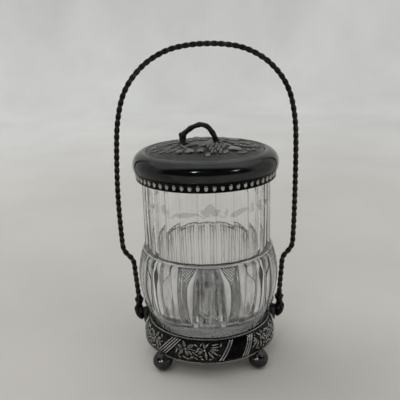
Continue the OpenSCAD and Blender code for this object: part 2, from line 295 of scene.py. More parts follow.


# clear pressed glass; haze turns it milky where it is cut or ground and also brightens it as painted light,
# shade darkens its colour as painted shade, streaks run upwards like wood grain
def jarGlass():
    material = bpy.data.materials.new("pressedGlass")
    paint = Paint(material)
    # the shade attribute darkens the glass's colour towards near black: painted shade
    paintedShadeTint = paint.mix(paint.tone("shade"), (0.968, 0.972, 0.966), (0.05, 0.05, 0.048))
    grain = paint.remap(paint.noise(380, 4, 0.65, (1, 1, 0.09)), 0.35, 0.65, -0.16, 0.26)
    hazeAndLight = paint.combine("ADD", paint.tone("hazeAndPaintedLight"), paint.combine("MULTIPLY", grain, paint.tone("streak")))
    paint.set(Base_Color=paintedShadeTint, IOR=1.5, Roughness=0.0, Transmission_Weight=paint.remap(hazeAndLight, 0, 1, 1.0, 0.0))
    paint.bump(paint.noise(60, 2, 0.5, (1, 1, 0.35)), 0.0004, 0.4)
    return material


glass = jarGlass()
print("materials made")


leafForm = {"taper": 0.28, "waves": 0.07, "edge": 0.55, "dish": 0.45, "rib": 0.35, "veins": 0.16}


# shapes raised on a sheet, worked out over a grid of x and y
class Relief:
    def __init__(self, x, y):
        self.x, self.y = x, y
        self.height = np.zeros_like(x)

    def local(self, centre, turn):
        dx, dy = self.x - centre[0], self.y - centre[1]
        c, s = math.cos(math.radians(turn)), math.sin(math.radians(turn))
        return dx * c + dy * s, -dx * s + dy * c

    def raiseTo(self, shape):
        self.height = np.maximum(self.height, shape)

    # pointed leaf with a midrib and side veins
    def leaf(self, centre, turn, length, width, height, veins=5, point=1.0):
        u, v = self.local(centre, turn)
        t = np.clip(u / (length / 2), -1, 1)
        half = width / 2 * np.power(unit(1 - t * t), 0.75 * point) * (1 - leafForm["taper"] * t)
        half *= 1 + leafForm["waves"] * np.sin(t * veins * 5)
        inside = unit((half - np.abs(v)) / leafForm["edge"]) * (np.abs(u) < length / 2)
        body = height * (1 - leafForm["dish"] + leafForm["dish"] * unit(np.abs(v) / np.maximum(half, 0.1)))
        rib = leafForm["rib"] * height * peak(v, 0.35)
        side = leafForm["veins"] * height * np.cos((u - np.abs(v) * 0.9) * 2 * np.pi * veins / length)
        self.raiseTo(inside * (body + rib + side * (np.abs(v) > 0.3)))

    # round or oval fruit with a crease
    def fruit(self, centre, turn, length, width, height, crease=0.25):
        u, v = self.local(centre, turn)
        d = (u / (length / 2)) ** 2 + (v / (width / 2)) ** 2
        body = height * np.sqrt(unit(1 - d))
        body -= crease * height * peak(v - width * 0.12, 0.4) * (d < 0.8)
        self.raiseTo(np.clip(body, 0, None))

    def stem(self, points, radius, height):
        points = smoothPath(points, 6)[:, :2]
        for a, b in zip(points[:-1], points[1:]):
            along = b - a
            t = unit(((self.x - a[0]) * along[0] + (self.y - a[1]) * along[1]) / (along @ along))
            d = np.hypot(self.x - a[0] - t * along[0], self.y - a[1] - t * along[1])
            self.raiseTo(height * np.sqrt(unit(1 - (d / radius) ** 2)))


# how light the plate is: more on what stands above its blurred surroundings, and with the height itself; this
# paints shade into the hollows and highlights on the tops, along with tarnish and wear
def toneOf(height, passes, start, proud, high):
    blurred = height.copy()
    for _ in range(passes):
        blurred = (np.roll(blurred, 1, 0) + np.roll(blurred, -1, 0) + 2 * blurred) / 4
        padded = np.pad(blurred, ((0, 0), (1, 1)), mode="edge")
        blurred = (padded[:, :-2] + padded[:, 2:] + 2 * blurred) / 4
    return unit(start + proud * (height - blurred) + high * height)


camera = {
    "place": (0, -509.1, 292.3),
    "pitch": 0.2868,
    "yaw": -0.0112,
    "roll": -0.0295,
    "lens": 54,
    "sensor": 36,
}


def aimCamera():
    data = bpy.data.cameras.new("viewCamera")
    data.lens = camera["lens"]
    data.sensor_width = camera["sensor"]
    data.clip_start = 0.01
    made = bpy.data.objects.new("viewCamera", data)
    pose = Matrix.Translation(Vector(camera["place"]) * mm)
    for angle, axis in ((-camera["yaw"], "Z"), (math.pi / 2 - camera["pitch"], "X"), (camera["roll"], "Z")):
        pose = pose @ Matrix.Rotation(angle, 4, axis)
    made.matrix_world = pose
    bpy.context.scene.collection.objects.link(made)
    bpy.context.scene.camera = made


aimCamera()

# a bowl of pale cloth; only reflections find a dark room in front of it
stage = {
    "floorRadius": 1500,
    "bendRadius": 500,
    "wallHeight": 1200,
    "floorColour": (0.568, 0.548, 0.518),
    # the wall is painted paler than the floor, standing in for light on the backdrop
    "wallColour": (0.76, 0.77, 0.765),
    "softShade": (0.36, 0.355, 0.34),
    "creaseShade": (0.28, 0.275, 0.265),
    "roomColour": (0.07, 0.07, 0.075),
    # where each change begins and ends, in metres; the sides also say how much painted light pales them
    "farBlend": (0.5, 1.45),
    "highBlend": (0.05, 0.5),
    "sides": ((0, 0.5, 0, 0.17), (0, -0.4, 0, 0.07)),
    "roomLow": (0.36, 0.52),
    "roomSide": (-0.25, -0.8),
}


def buildStage():
    material = bpy.data.materials.new("paleCloth")
    paint = Paint(material)
    spot = paint.node("SeparateXYZ", Vector=paint.place()).outputs
    far = paint.remap(spot["Y"], *stage["farBlend"])
    high = paint.remap(spot["Z"], *stage["highBlend"])
    # painted light: the wall and the sides are painted paler than the floor
    colour = paint.mix(paint.combine("MAXIMUM", far, high), stage["floorColour"], stage["wallColour"])
    for side in stage["sides"]:
        colour = paint.mix(paint.remap(spot["X"], *side), colour, (1, 1, 1))
    soft = paint.remap(paint.noise(2.6, 4, 0.5), 0.3, 0.7, 0, 0.1)
    colour = paint.mix(soft, colour, stage["softShade"])
    creased = paint.remap(paint.noise(5, 4, 0.55, (1, 0.8, 0.6)), 0.35, 0.7, 0, 0.16)
    colour = paint.mix(creased, colour, stage["creaseShade"])
    room = paint.combine("MULTIPLY", paint.remap(spot["Z"], *stage["roomLow"]),
                         paint.remap(spot["Y"], *stage["roomSide"]))
    colour = paint.mix(paint.glossyOnly(room), colour, stage["roomColour"])
    paint.set(Base_Color=colour, Roughness=0.9, Specular_IOR_Level=0.1)
    paint.bump(paint.noise(5.5, 3, 0.55, (1, 0.6, 1)), 0.012, 0.35)
    wide, bend = stage["floorRadius"], stage["bendRadius"]
    profile = [(1, 0)] + [(wide * k / 12, 0) for k in range(1, 12)] + arc((wide, bend), bend, -90, 0, 16)
    profile.append((wide + bend, bend + stage["wallHeight"]))
    turned("clothFloor", profile, material, steps=96, closed=False)


lamps = {
    "window": {"place": (-900, 700, 1300), "size": 1600, "watts": 6.9, "mirrored": False},
    "windowGlow": {"place": (-900, 700, 1300), "size": 1600, "watts": 3.4},
    "roomLampLeft": {"place": (-376, -1017, 1138), "aim": (0, 0, 150), "size": 120, "watts": 1.2},
    "roomLampRight": {"place": (952, -731, 985), "aim": (0, 0, 150), "size": 80, "watts": 0.45},
    # small highlights on the feet alone
    "lowLampLeft": {"place": (-370, -545, 130), "aim": (-42, -42, 8), "size": 60, "watts": 0.45,
                    "only": "feet"},
    "lowLampRight": {"place": (-114, -582, 206), "aim": (42, -42, 8), "size": 45, "watts": 0.9,
                     "only": "feet"},
}


def buildLamp(name, place, size, watts, aim=(0, 100, 100), mirrored=True, only=None):
    data = bpy.data.lights.new(name, "AREA")
    data.shape = "DISK"
    data.size = size * mm
    data.energy = watts
    made = bpy.data.objects.new(name, data)
    made.visible_glossy = mirrored
    if only:
        made.light_linking.receiver_collection = litAlone[only]
    made.location = Vector(place) * mm
    made.rotation_euler = (Vector(aim) - Vector(place)).to_track_quat("-Z", "Y").to_euler()
    bpy.context.scene.collection.objects.link(made)


# a pale sky that turns into a dark room in front of the object, for reflections alone
def buildWorld(strength, begins, ends):
    world = bpy.data.worlds.new("softRoom")
    paint = Paint(world, "Background")
    spot = paint.node("SeparateXYZ", Vector=paint.node("TexCoord").outputs["Generated"])
    front = paint.glossyOnly(paint.remap(spot.outputs["Y"], begins, ends))
    paint.set(Strength=strength, Color=paint.mix(front, (1, 1, 0.99), (0.05, 0.05, 0.055)))
    bpy.context.scene.world = world


litAlone = {"feet": bpy.data.collections.new("feetInLowLight")}
buildStage()
for lampName, lamp in lamps.items():
    buildLamp(lampName, **lamp)
buildWorld(strength=0.86, begins=-0.1, ends=-0.32)
bpy.context.scene.view_settings.view_transform = "Standard"
print("camera, stage and lamps set")

# the jar: a clear neck in shallow flats over a thick belly, which has four wide panels. Beside each one come
# a blade, a ribbed strip under a hatched fan, a flute, a lens, a bar and half a wedge, mirrored at 45 degrees
jar = {
    "sectors": 4,
    "underside": 16.35,
    "bellyLow": 47.4,
    "bellyHigh": 101.3,
    "widest": 63,
    "widestAt": 79,
    "sideArc": 92,
    "shoulderArc": 30.9,
    "shoulderMiddle": 37.1,
    "neckRadius": 56,
    "neckTop": 166.5,
    # height, and degrees from the panel's middle to the outer edge of each cut
    "edges": {
        "panel": [(50, 13.9), (58, 13.6), (66, 12.7), (80, 11.7), (90, 11), (98, 8.9), (101, 8.9)],
        "blade": [(48, 14.8), (56, 16.2), (68, 17.2), (80, 17.3), (88, 16.2), (95, 12.8), (101, 9.8)],
        "strip": [(48, 24.6), (101, 25.2)],
        "flute": [(50, 30), (58, 29.2), (66, 28.8), (80, 29.4), (94, 30.6), (101, 30.6)],
        "lens": [(50, 34.6), (58, 36), (68, 37.9), (80, 38.6), (86, 37.4), (93.5, 31.7), (101, 31.4)],
        "bar": [(48, 39.6), (70, 40.2), (90, 41), (101, 41.3)],
        "wedge": [(60, 44.6), (74, 44.3), (82, 43.6), (90, 42.6), (97, 44.6), (101, 44.6)],
    },
    # how many columns of points each cut gets, and where its edges run on up the neck
    "columns": (16, 6, 28, 8, 12, 6, 5, 3),
    "neckEdges": (7.5, 15, 22.5, 30, 37.5, 40, 43),
    "arris": 0.18,
    # depth at the inner and the outer edge, then painted haze and light, and painted shade, of each cut
    "cuts": {"blade": (2.3, 0.3, 0.74, 0.13), "strip": (0.5, 0.5, 0.19, 0.03), "flute": (1.5, 0.2, 0.5, 0.13),
             "lens": (1.7, 0.2, 0.36, 0.15), "bar": (0.9, 0.5, 0.3, 0.05), "wedge": (0.8, 0.1, 0.45, 0)},
    # painted light over the panels
    "panelPaintedLight": 0.17,
    # how dark the painted shade is along each cut's outer edge
    "edgeShade": {"panel": 0.6, "blade": 0.9, "flute": 0.8, "lens": 0.95, "bar": 0.5, "wedge": 0.5},
    "shoulder": [(84, 62.8), (92, 61.4), (97, 60), (101.3, 58.4)],
    # painted dark lines on the belly: how dark, place in degrees at a height, lean in degrees for each
    # millimetre, width, and the heights between which a line comes and goes
    "strokes": [(0.4, 35, 69, 0, 0.6, (60, 69), (78, 69)), (0.7, 31.3, 99, -0.62, 0.5, (96, 97), (102, 101)),
                (0.35, 8.2, 54, 0.16, 0.35, (53.6, 53.65), (70, 69.95))],
    # a pale mark of painted light
    "mark": {"place": 9.7, "half": 0.9, "low": 53.6, "high": 63, "hazeAndPaintedLight": 0.5},
    # the fan's hatching is cut, with painted light and painted shade along it
    "fan": {"corner": (17.3, 86), "slope": 2.7, "hatch": 2.6, "depth": 0.6, "hazeAndPaintedLight": 1.1, "shade": 0.8},
    "stripRibs": {"middle": 22.5, "gap": 2.05, "depth": 0.14},
    # raised knobs, painted light inside and painted shade round the outline
    "knob": {"middle": 11.2, "half": 2.9, "low": 45.8, "high": 52.8, "raised": 1.2, "hazeAndPaintedLight": 0.35,
             "shade": 0.7},
    # the shade is a painted dark line along each arris of the flats
    "neckFlats": {"count": 24, "depth": 1.7, "shade": 0.27, "line": 0.45},
    "foot": (20, 45, 0.07, 0.21),   # from, to, painted haze and light, and painted shade
    "rings": ((102, 0.45, 0.5, 0), (103.5, 0.35, 0, 0.8)),   # height, width, painted haze and light, and painted shade
    "rays": {"count": 32, "depth": 0.7, "outer": 40, "inner": 20},
    # the ribs are cut shallow and drawn with painted dark lines
    "backRibs": {"gap": 7.5, "width": 0.75, "depth": 0.5, "shade": 0.9, "low": 56, "high": 98},
    # the ground frieze gets painted light and painted shade over its frosting
    "frieze": {"above": 110, "hazeAndPaintedLight": 0.5, "shade": 0.42},
    "ripple": 0.16,
    "inside": [(0, 23.5), (20, 23.6), (38, 24.2), (43.5, 26.8), (46.8, 32), (48.2, 40), (49.2, 50),
               (50.6, 75), (51.8, 101), (52.6, 125)],
}


def bellyRadius(z):
    off = (z - jar["widestAt"]) ** 2
    side = jar["widest"] - jar["sideArc"] + np.sqrt(jar["sideArc"] ** 2 - off)
    shoulder = jar["shoulderMiddle"] + np.sqrt(np.clip(jar["shoulderArc"] ** 2 - off, 0, None))
    return np.where(z > jar["widestAt"], np.minimum(side, shoulder), side)


# outer outline: radius and height before anything is cut
def jarOutline():
    under, neck = jar["underside"], jar["neckRadius"]
    rows = [(r, under) for r in (3, 5, 8, 12, 17, 22, 27, 32, 37, 41, 44, 46.6)]
    rows += [(47.8, 16.5), (48.8, 17.2), (49.6, 18.2), (50.2, 20), (50.8, 22), (51.4, 26), (52, 30),
             (52.4, 33), (52.8, 36), (53.4, 39), (54, 41.5), (54.5, 43), (54.9, 44.2), (55.2, 45.2),
             (55.5, 45.9), (55.8, 46.5), (56, 47)]
    for z in np.concatenate([np.arange(47.4, 80, 0.9), np.arange(80, 100, 0.6), np.arange(100, 101.4, 0.3)]):
        rows.append((float(bellyRadius(z)), float(z)))
    rows += [(57.75, 101.7), (57.75, 102.1), (57.7, 102.5), (57.5, 102.95), (56.9, 103.15), (56.3, 103.3),
             (neck, 103.6), (neck, 104), (neck, 104.6)]
    rows += [(neck, float(z)) for z in np.arange(105.4, jar["neckTop"], 0.9)]
    rows += [(56.3, 166.8), (57.1, 167.4)] + arc((55.6, 170.4), 1.6, 0, 90, 6)
    rows += [(54.2, 172), (53.2, 171.6), (52.6, 170.8)]
    return np.array(rows)


# leaves: place round the neck in degrees, height, turn, length, width; stems: places and heights
frieze = {
    "leaves": [
        (3, 150.5, 80, 8, 9), (-1.5, 147.6, 160, 8, 5.5), (7.5, 147.4, 20, 8, 5.5),
        (-16.5, 145.3, 8, 19, 4.6), (29, 145.6, 14, 18, 5), (-39, 148.4, 60, 7, 6), (-36, 145.8, -20, 7, 4),
        (43, 147.6, 110, 7, 5), (16.5, 147, 65, 5, 2.4), (-29, 143.2, 40, 6, 2)],
    "stems": [
        [(-40, 144.5), (-33, 141.6), (-28, 143.5), (-25, 146)], [(10, 145), (15, 143), (17, 147.5)],
        [(-7, 146), (-3, 143.4), (3, 145)], [(38, 146.5), (41, 143.5), (45, 144.8)]],
}


# soft blossoms and long leaves ground round the neck, four times
def neckFrieze(angle, z):
    relief = Relief(np.radians((angle + 45) % 90 - 45) * jar["neckRadius"], z)
    for place, height, turn, length, width in frieze["leaves"]:
        relief.leaf((math.radians(place) * jar["neckRadius"], height), turn, length, width, 1.0, 3, 0.6)
    for points in frieze["stems"]:
        relief.stem([(math.radians(a) * jar["neckRadius"], h) for a, h in points], 0.6, 0.8)
    return unit(relief.height * 2.6)


# columns follow the cuts' edges, so that every cut has a clean arris
def jarColumns(z, neck):
    stops = [np.zeros_like(z)]
    for points, flat in zip(jar["edges"].values(), jar["neckEdges"]):
        heights, angles = smoothPath(points, 6).T[:2]
        at = np.interp(z, heights, angles)
        stops.append(at + (flat - at) * neck)
    half = np.full_like(z, 45)
    stops.append(half)
    side, last = [], len(stops) - 2
    for k, (a, b, count) in enumerate(zip(stops, stops[1:], jar["columns"])):
        near = np.minimum(jar["arris"], (b - a) * 0.25)
        start, end = a + near * (k > 0), b - near * (k < last)
        side += [a] * (k > 0) + [start + (end - start) * n / count for n in range(count + (k < last))]
    side = np.stack(side, -1)
    fold = np.concatenate([-half[:, None], -side[:, :0:-1], side], 1)
    return fold, [stop[:, None] for stop in stops]


# depth, painted haze and light, painted shade and streaks of every cut on the belly; away is in degrees from
# the panel's middle
def bellyCuts(away, z, plain, stops):
    depth, hazeAndPaintedLight, shade = (np.zeros_like(away) for _ in range(3))
    names = list(jar["edges"])
    edge = dict(zip(names, stops[1:]))
    for inner, outer, name in zip(stops[1:], stops[2:], names[1:]):
        first, final, hazeAndLight, dark = jar["cuts"][name]
        here = (away >= inner) & (away < outer)
        across = unit((away - inner) / np.maximum(outer - inner, 0.05))
        wide = unit((outer - inner) / 3)
        depth = np.where(here, (first + (final - first) * across) * wide, depth)
        hazeAndPaintedLight, shade = np.where(here, hazeAndLight * wide, hazeAndPaintedLight), np.where(here, dark, shade)
    panel, strip = away < edge["panel"], (away > edge["blade"]) & (away < edge["strip"])
    reach = np.cos(np.radians(np.minimum(away, edge["panel"])))
    depth = np.where(panel, 0.5 * plain * (1 - np.cos(np.radians(edge["panel"])) / reach), depth)
    hazeAndPaintedLight = np.where(panel, jar["panelPaintedLight"], hazeAndPaintedLight)
    # the fan: hatching that narrows down the strip beside the blade, with painted light and painted shade
    # along it
    look, ribs = jar["fan"], jar["stripRibs"]
    place, low = look["corner"]
    fan = strip * unit((z - low - look["slope"] * (away - place)) / 1.5)
    a, b = (np.sin(np.pi * (np.radians(away) * 60 + sign * z) / look["hatch"]) for sign in (1, -1))
    hatch = np.abs(a * b)
    rib = ribs["depth"] * (0.5 + 0.5 * np.cos(np.radians((away - ribs["middle"]) * 360 / ribs["gap"])))
    depth += strip * rib * (1 - fan) + look["depth"] * hatch * fan
    hazeAndPaintedLight += fan * (look["hazeAndPaintedLight"] * hatch ** 3 - 0.1)
    shade += fan * look["shade"] * (1 - hatch) ** 2
    shade += strip * 0.3 * unit((z - 93) / 4) * (away > 20) * (1 - fan)
    # painted shade on the side of the bar, on the wedge, along the line inside the panel, in the strokes and
    # along the cuts' edges
    bar = (away > np.maximum(edge["lens"], 36.8)) & (away < edge["bar"])
    shade, hazeAndPaintedLight = shade + 0.5 * bar, hazeAndPaintedLight * (1 - 0.6 * bar)
    shade += 0.5 * panel * peak(away - 7, 1.1) * unit((z - 90) / 4) * unit((99.5 - z) / 2)
    wedge = away > edge["wedge"]
    shade, depth = np.where(wedge, 1, shade), np.where(wedge, 0.4 + 0.6 * (away - edge["wedge"]), depth)
    hazeAndPaintedLight = hazeAndPaintedLight * ~wedge
    for dark, place, height, lean, width, (low, full), (high, fading) in jar["strokes"]:
        ends = unit((z - low) / (full - low)) * unit((high - z) / (high - fading))
        shade += dark * peak(away - place - lean * (z - height), width) * ends
    for name, dark in jar["edgeShade"].items():
        shade += dark * peak(away - edge[name], 0.3)
    # painted light as a pale mark at the panel's lower corners
    mark = jar["mark"]
    pale = unit((mark["half"] - np.abs(away - mark["place"])) / 0.4) * (z > mark["low"])
    hazeAndPaintedLight += mark["hazeAndPaintedLight"] * pale * unit((mark["high"] - z) / 5)
    # the shoulder is dressed back above the panels, and their tops end in a line of painted shade
    rounded = plain - np.interp(z, *np.array(jar["shoulder"]).T)
    depth += np.clip(rounded, 0, None) * (z > 84) * unit((31 - away) / 6)
    shade += (strip + 0.6 * panel) * peak(z - 100.5, 0.55)
    # below the cuts a plain border with a ledge of painted light and a line of painted shade under it
    foot, beyond = unit((54 - z) / 0.8), away > edge["strip"]
    hazeAndPaintedLight, depth = hazeAndPaintedLight * (1 - foot * (beyond | strip)), depth * (1 - 0.7 * foot * beyond)
    shade = shade * (1 - 0.6 * foot) + 0.3 * foot * beyond * (away < 32) * (z > 47)
    hazeAndPaintedLight += 0.4 * strip * peak(z - 49.2, 0.5)
    shade += 0.5 * strip * peak(z - 48, 0.4)
    return depth, hazeAndPaintedLight, shade, 1.0 * panel + 0.5 * ~panel


# fine ribs round the back, cut shallow and drawn with painted shade, some stronger and taller than others,
# each with a nick
# at its top: the distance to the nearest rib, how much of a rib is here, and how strong it is
def backRibLines(angle, z):
    ribs = jar["backRibs"]
    off = offBeat(angle, ribs["gap"])
    uneven = 0.5 + 0.5 * np.sin(2.4 * np.round(angle / ribs["gap"]) + 1)
    wide = ribs["width"] * (0.6 + uneven) + 0.9 * peak(z - ribs["high"] - 0.5 - 1.5 * uneven, 1.2)
    line = peak(off, wide) * (np.sin(np.radians(angle)) > 0.1)
    return off, line * (z > ribs["low"]) * (z < ribs["high"] + 3 * uneven), uneven


# the inner wall, with a slight ripple below the shoulder
def jarInside(around):
    profile = smoothPath(jar["inside"], 4)
    neck = [[jar["inside"][-1][0], h] for h in np.arange(131, 170, 8)]
    profile = np.vstack([profile, neck])[::-1][:-1]
    radius, z = profile[:, :1], profile[:, 1:]
    wave = 0.6 * np.sin(56 * around) + 0.5 * np.sin(88 * around + 2 * np.sin(z / 9))
    wave = jar["ripple"] * (wave + 0.4 * np.sin(31 * around + 1)) * unit((100 - z) / 20)
    return spun(radius + wave * np.clip(radius / 46 - 0.9, 0, 0.1) * 10, around, z)


def buildJar():
    outline = jarOutline()
    z, plain = outline[:, 1][:, None], outline[:, 0][:, None]
    neck = unit((outline[:, 1] - jar["bellyHigh"]) / 2.5)
    fold, stops = jarColumns(outline[:, 1], neck)
    away = np.abs(fold)
    share = (z - jar["bellyLow"]) / (jar["bellyHigh"] - jar["bellyLow"])
    fade = unit(np.minimum(share / 0.03, (1 - share) / 0.005))
    depth, hazeAndPaintedLight, shade, streak = (part * fade for part in bellyCuts(away, z, plain, stops))
    # shallow flats round the neck, with a line of painted shade along each arris
    flats, onNeck = jar["neckFlats"], neck[:, None] * (z < jar["neckTop"])
    half = 180 / flats["count"]
    local = offBeat(fold, 2 * half)
    chord = plain * (1 - np.cos(np.radians(half)) / np.cos(np.radians(local)))
    depth = depth + flats["depth"] * chord * onNeck
    shade = shade + flats["shade"] * peak(local - half, flats["line"]) * onNeck
    # square knobs under the blades' tips, painted light inside and painted shade round their outline
    knob = jar["knob"]
    off = np.maximum((np.abs(away - knob["middle"]) - knob["half"]) * 1.07,
                     np.maximum(knob["low"] - z, z - knob["high"]))
    radius = plain - depth + knob["raised"] * unit(-off / 0.5)
    hazeAndPaintedLight = hazeAndPaintedLight + knob["hazeAndPaintedLight"] * unit(-off - 1)
    shade = shade + knob["shade"] * peak(off + 0.3, 0.45)
    # the foot, painted slightly milky and darker, and a ledge of painted light and a line of painted shade
    # where the neck begins
    low, high, hazeAndLight, dark = jar["foot"]
    hazeAndPaintedLight, shade = hazeAndPaintedLight + hazeAndLight * (z < high) * (z > low), shade + dark * (z < high) * (z > low)
    for place, width, hazeAndLight, dark in jar["rings"]:
        hazeAndPaintedLight, shade = hazeAndPaintedLight + hazeAndLight * peak(z - place, width), shade + dark * peak(z - place, width)
    # rays cut in the underside
    rays = jar["rays"]
    ray = 1 - offBeat(fold, 360 / rays["count"]) / (180 / rays["count"])
    cut = rays["depth"] * ray * unit((rays["outer"] - plain) / 3) * unit(plain / rays["inner"])
    height = z + (z == jar["underside"]) * cut
    # the sector's columns are repeated round the jar
    sectors = jar["sectors"]
    angle = np.concatenate([fold + 360 / sectors * k - 90 for k in range(sectors)], 1)
    radius, height, hazeAndPaintedLight, shade, streak = (np.tile(np.broadcast_to(v, fold.shape), (1, sectors))
                                           for v in (radius, height, hazeAndPaintedLight, shade, streak))
    off, line, uneven = backRibLines(angle, z)
    line, ribs = line * fade, jar["backRibs"]
    radius, shade = radius - ribs["depth"] * (0.6 + 0.8 * uneven) * line, shade + ribs["shade"] * line
    # at the back the painted haze and light and the streaks go, and above the belly the painted shade fades,
    # least at the ribs
    behind = unit(np.sin(np.radians(angle)) * 3 + 0.3)
    hazeAndPaintedLight, streak = hazeAndPaintedLight * (1 - behind), streak * (1 - behind)
    shade = shade * (1 - (0.85 - 0.6 * peak(off, 1.6)) * behind * (z > 100))
    # the ground frieze round the neck gets painted light and painted shade
    ground = neckFrieze(angle, np.broadcast_to(z, angle.shape)) * (z > jar["frieze"]["above"])
    hazeAndPaintedLight = np.maximum(hazeAndPaintedLight, jar["frieze"]["hazeAndPaintedLight"] * ground)
    shade = shade + jar["frieze"]["shade"] * ground
    inside = jarInside(np.radians(angle[len(outline) // 2])[None, :])
    points = np.concatenate([spun(radius, np.radians(angle), height), inside], 0)
    rows, cols = points.shape[:2]
    faces = gridFaces(rows, cols, False, True, flip=True)
    ends = [[0, 0, jar["underside"]], [0, 0, jar["inside"][0][1]]]
    last = rows * cols
    for k in range(cols):
        n = (k + 1) % cols
        faces += [[last, n, k], [last + 1, last - cols + k, last - cols + n]]
    clear = np.zeros((len(inside), cols))
    tones = {label: np.append(np.concatenate([unit(tone), clear], 0).ravel(), [0, 0])
             for label, tone in (("hazeAndPaintedLight", hazeAndPaintedLight), ("shade", shade), ("streak", streak))}
    made = makeObject("pressedGlassJar", points.reshape(-1, 3).tolist() + ends, faces, glass, tones)
    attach(made, "jar")
    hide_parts("glass_jar")


buildJar()
print("jar made")

bail = {
    "side": [(65.1, 50), (65.7, 60), (66.8, 74), (67.5, 83.5), (69.4, 88.5), (73.8, 93.6), (76.4, 99),
             (77.2, 110), (77.9, 135), (78, 160), (77.3, 190), (75.8, 211), (71.5, 231.5), (64.2, 246.5),
             (52.8, 259.4), (40.4, 267.8), (28, 272.8), (14, 275.3), (0, 276)],
    "lean": 3,
    "leanFrom": 150,
    "pitch": 11.8,
    "strandRadius": 1.63,
    "strandGap": 0.8,
    # distance from the wire's middle at which the painted shade between the strands ends
    "crevice": 1.45,
    "step": 0.7,
    "sides": 14,
}


# the arch, in the plane y = 0; its top leans a little to the right
def bailLine():
    x, z = np.array(bail["side"], float).T
    lean = bail["lean"] * np.clip(z - bail["leanFrom"], 0, None) / (z[-1] - bail["leanFrom"])
    left, right = (np.stack([sign * x + lean, z], 1) for sign in (-1, 1))
    path, at = evenly(smoothPath(np.vstack([left, right[-2::-1]]), 12), bail["step"])
    return np.stack([path[:, 0], np.zeros(len(path)), path[:, 1]], 1), at


def buildBailWire():
    line, at = bailLine()
    along = np.gradient(line, axis=0)
    along /= np.linalg.norm(along, axis=1)[:, None]
    back = np.array([0, 1, 0])
    normal = np.cross(along, back)
    parts, tones = [], []
    for strand in range(2):
        turn = (2 * np.pi * at / bail["pitch"] + strand * np.pi)[:, None]
        path = line + bail["strandGap"] * (normal * np.cos(turn) + back * np.sin(turn))
        rings = tubeRings(path, bail["strandRadius"], bail["sides"])
        parts.append(tubePart(rings))
        # the relief tone paints shade into the crevices between the strands and highlights on their crests
        out = np.linalg.norm(rings - line[:, None], axis=2)
        tones.append(unit((out - bail["crevice"]) / 0.75).ravel())
    made = makeObject("twistedBailWires", *joined(parts), metals["wire"], {"relief": np.concatenate(tones)})
    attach(made, "bail")
    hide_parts("bail_wire")


buildBailWire()
print("bail wire made")

lid = {
    "borderCentre": (52.6, 177.3),
    "borderRadius": 10.9,
    "crownRadius": 51.2,
    "crownEdge": 187.4,
    "crownTop": 194,
    "dents": 0.09,
    "steps": 240,
    "grooves": ((51.9, 0.42, 0.28), (53.2, 0.3, 0.3)),   # radius, depth and width
    "groovesAbove": 183,
    "edge": ((50.1, 0.6), (49.1, -0.5), (51, -0.6)),   # raised wire round the crown between two grooves
    "edgeWidth": 0.42,
    "reliefEnds": 48.9,
    "sheet": 1.2,
}
domeRadius = (lid["crownRadius"] ** 2 + (lid["crownTop"] - lid["crownEdge"]) ** 2) / (
    2 * (lid["crownTop"] - lid["crownEdge"]))
domeMiddle = lid["crownTop"] - domeRadius


def buildLidBorder():
    centre, radius = lid["borderCentre"], lid["borderRadius"]
    cut = []
    for r, z in arc(centre, radius, 97, -19, 60):
        groove = sum(depth * peak(r - place, width) for place, depth, width in lid["grooves"])
        cut.append((r, z - groove * (z > lid["groovesAbove"])))
    lip = arc((62.55, 173.75), 0.5, 60, -90, 6)
    inside = [(61.2, 173.65)] + arc(centre, radius - lid["sheet"], -21, 97, 40)
    profile = np.array(cut + lip + inside)
    angle, along = wholeTurn(lid["steps"]), np.linspace(0, 1, len(profile))[None, :]
    # slight dents
    dent = (np.sin(3 * angle + 1.1) * np.sin(5 * along + 0.4)
            + 0.6 * np.sin(7 * angle + 2.7) * np.cos(9 * along)
            + 0.35 * np.sin(13 * angle + 0.3) * np.sin(17 * along + 1))
    dent = lid["dents"] * dent * (np.arange(len(profile)) < len(cut))[None, :]
    outward = profile[None, :, :] - np.array(centre)
    outward = outward / np.linalg.norm(outward, axis=2)[:, :, None]
    section = profile[None, :, :] + outward * (dent - lid["dents"])[:, :, None]
    points = spun(section[:, :, 0], angle, section[:, :, 1])
    faces = gridFaces(lid["steps"], len(profile), True, True)
    made = makeObject("rolledLidBorder", points, faces, metals["border"])
    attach(made, "lid")
    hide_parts("lid_border")


